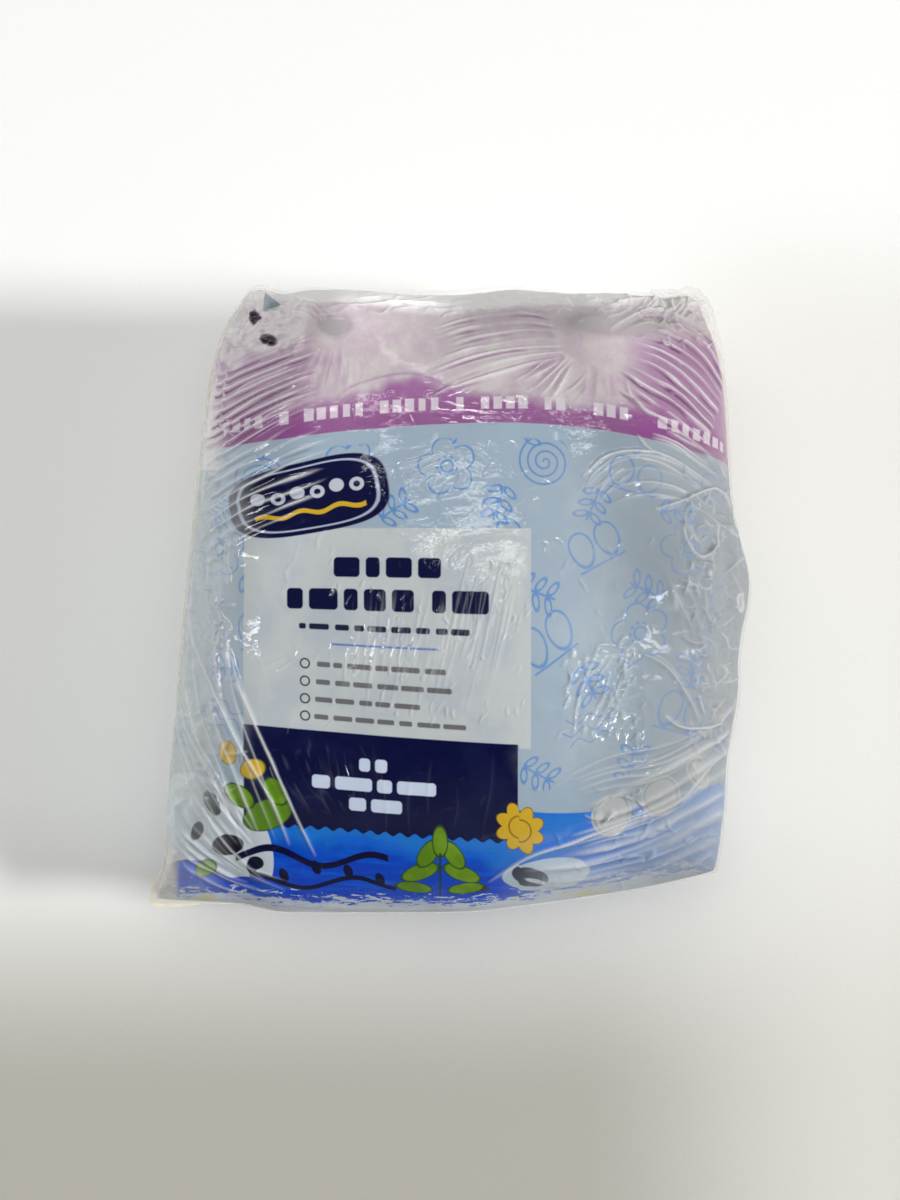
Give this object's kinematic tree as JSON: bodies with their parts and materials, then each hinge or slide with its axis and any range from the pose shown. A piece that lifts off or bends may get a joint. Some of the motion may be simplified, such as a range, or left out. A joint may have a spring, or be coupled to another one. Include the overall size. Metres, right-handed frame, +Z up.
{
  "type": "whole cornish hen sealed in a printed film pack",
  "caption": "Plump sealed film pack of a whole small bird, lying on its back: pleated film over the leg ends, tension folds at the corners, pointed film ears.",
  "frame": {"origin": "centre of the footprint at the surface the pack lies on", "axes": "+Z up, out of the printed side; +Y along the pack's length, towards the leg end; +X to the right as the printed side is read from above"},
  "size_m": [0.1502, 0.16, 0.0776],
  "materials": {
    "printed_film": "gloss"
  },
  "bodies": {
    "root": {"film_pack": "printed_film"}
  },
  "joints": []
}
